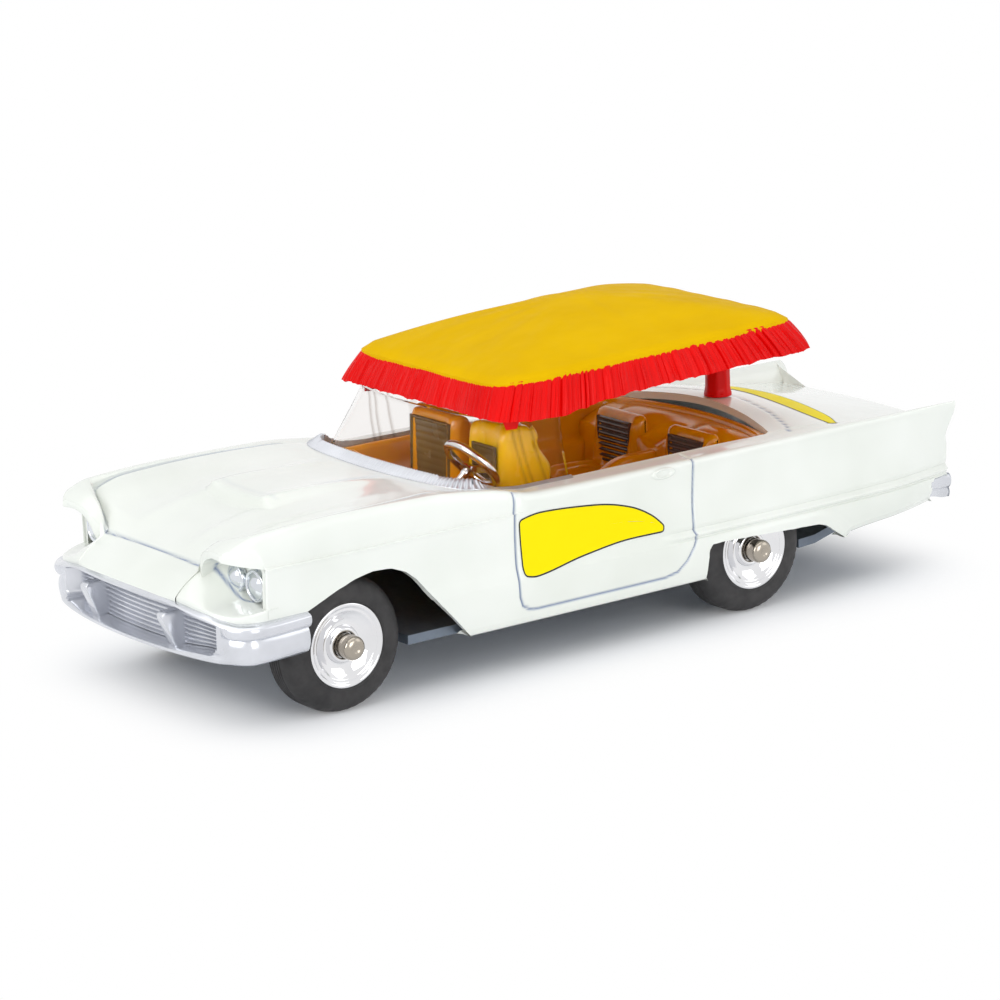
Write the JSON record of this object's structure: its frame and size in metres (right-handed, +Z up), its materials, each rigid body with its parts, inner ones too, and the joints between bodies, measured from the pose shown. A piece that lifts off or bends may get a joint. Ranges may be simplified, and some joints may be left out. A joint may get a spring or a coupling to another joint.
{
  "type": "toy taxi cab",
  "caption": "Die-cast toy convertible taxi with tail fins, clear windscreen, open cabin, fringed canopy on a rear post and free-rolling wheels on fixed steel axles.",
  "frame": {"origin": "on the ground under the middle of the car", "axes": "+X forward, +Y to the car's left, +Z up"},
  "size_m": [0.105, 0.0382, 0.0354],
  "materials": {
    "body_paint": "glossy white enamel on a zinc casting",
    "base_paint": "satin grey-blue paint on a zinc casting",
    "steel": "bare steel",
    "silver_paint": "fine silver paint",
    "lamp_silver": "bright silver paint",
    "lamp_red": "glossy red paint",
    "clear_plastic": "clear polystyrene",
    "interior_orange": "glossy orange plastic",
    "seat_yellow": "glossy yellow plastic",
    "insert_metallic": "ribbed metallic grey-brown paint",
    "plated": "vacuum-plated plastic",
    "canopy_yellow": "matt yellow plastic",
    "fringe_red": "red plastic",
    "hub_chrome": "bright plating",
    "tyre": "black rubber"
  },
  "bodies": {
    "car": {"body_shell": "body_paint", "base_plate": "base_paint", "base_rivets": "steel", "front_bumper": "silver_paint", "grille": "silver_paint", "rear_bumper": "silver_paint", "headlamps_left": "lamp_silver", "headlamps_right": "lamp_silver", "tail_lamps_left": "lamp_red", "tail_lamps_right": "lamp_red", "windscreen": "clear_plastic", "interior_tub": "interior_orange", "front_seat_left": "seat_yellow", "front_seat_right": "interior_orange", "rear_seats": "interior_orange", "front_seat_inserts": "insert_metallic", "rear_seat_inserts": "insert_metallic", "steering_wheel": "plated", "steering_column": "plated", "canopy_top": "canopy_yellow", "canopy_fringe": "fringe_red", "canopy_post": "fringe_red", "front_axle": "steel", "rear_axle": "steel"},
    "wheel_front_left": {"hub_front_left": "hub_chrome", "tyre_front_left": "tyre"},
    "wheel_front_right": {"hub_front_right": "hub_chrome", "tyre_front_right": "tyre"},
    "wheel_rear_left": {"hub_rear_left": "hub_chrome", "tyre_rear_left": "tyre"},
    "wheel_rear_right": {"hub_rear_right": "hub_chrome", "tyre_rear_right": "tyre"}
  },
  "joints": [
    {"name": "wheel_front_left_spin", "type": "hinge", "parent": "car", "child": "wheel_front_left", "pos_m": [0.0353, 0, 0.0073], "axis": [0, 1, 0], "continuous": true},
    {"name": "wheel_front_right_spin", "type": "hinge", "parent": "car", "child": "wheel_front_right", "pos_m": [0.0353, 0, 0.0073], "axis": [0, 1, 0], "continuous": true},
    {"name": "wheel_rear_left_spin", "type": "hinge", "parent": "car", "child": "wheel_rear_left", "pos_m": [-0.0197, 0, 0.0073], "axis": [0, 1, 0], "continuous": true},
    {"name": "wheel_rear_right_spin", "type": "hinge", "parent": "car", "child": "wheel_rear_right", "pos_m": [-0.0197, 0, 0.0073], "axis": [0, 1, 0], "continuous": true}
  ]
}
